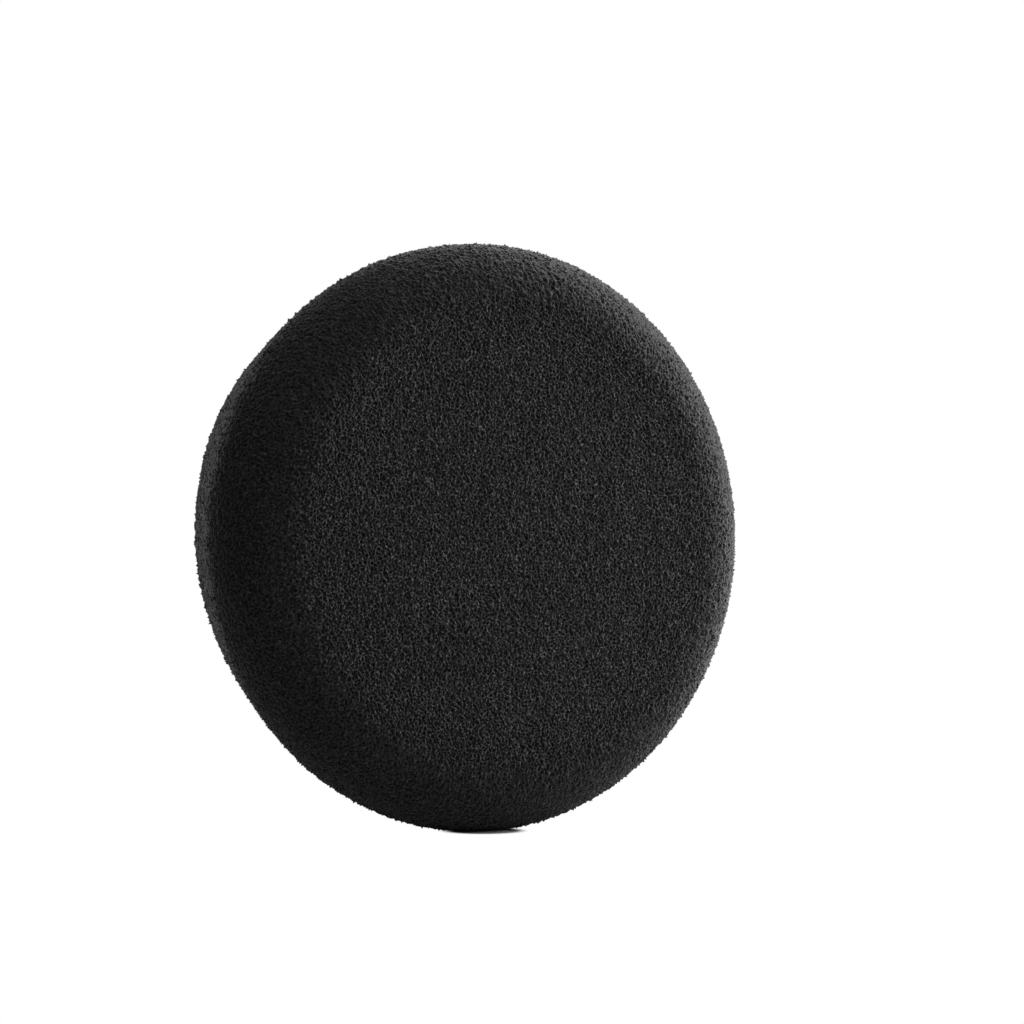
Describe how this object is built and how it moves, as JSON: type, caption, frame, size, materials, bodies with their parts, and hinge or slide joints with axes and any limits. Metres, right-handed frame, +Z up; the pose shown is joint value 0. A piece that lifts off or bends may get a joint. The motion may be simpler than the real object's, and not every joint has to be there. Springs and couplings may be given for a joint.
{
  "type": "polishing pad",
  "caption": "Round soft foam polishing pad with a rounded working edge, drawn-in flank and a loop cloth back that grips a polisher's hook plate.",
  "frame": {"origin": "centre of the loop face, on the pad's spin axis", "axes": "+Y out of the loop back along the spin axis, so the working face looks to -Y; +Z up with the pad standing on its edge; X across"},
  "size_m": [0.15, 0.05, 0.15],
  "materials": {
    "foam": "matte",
    "glue": "matte",
    "cloth": "matte",
    "loops": "matte"
  },
  "bodies": {
    "root": {"foam_pad": "foam", "glue_film": "glue", "backing_cloth": "cloth", "loop_pile": "loops"}
  },
  "joints": []
}
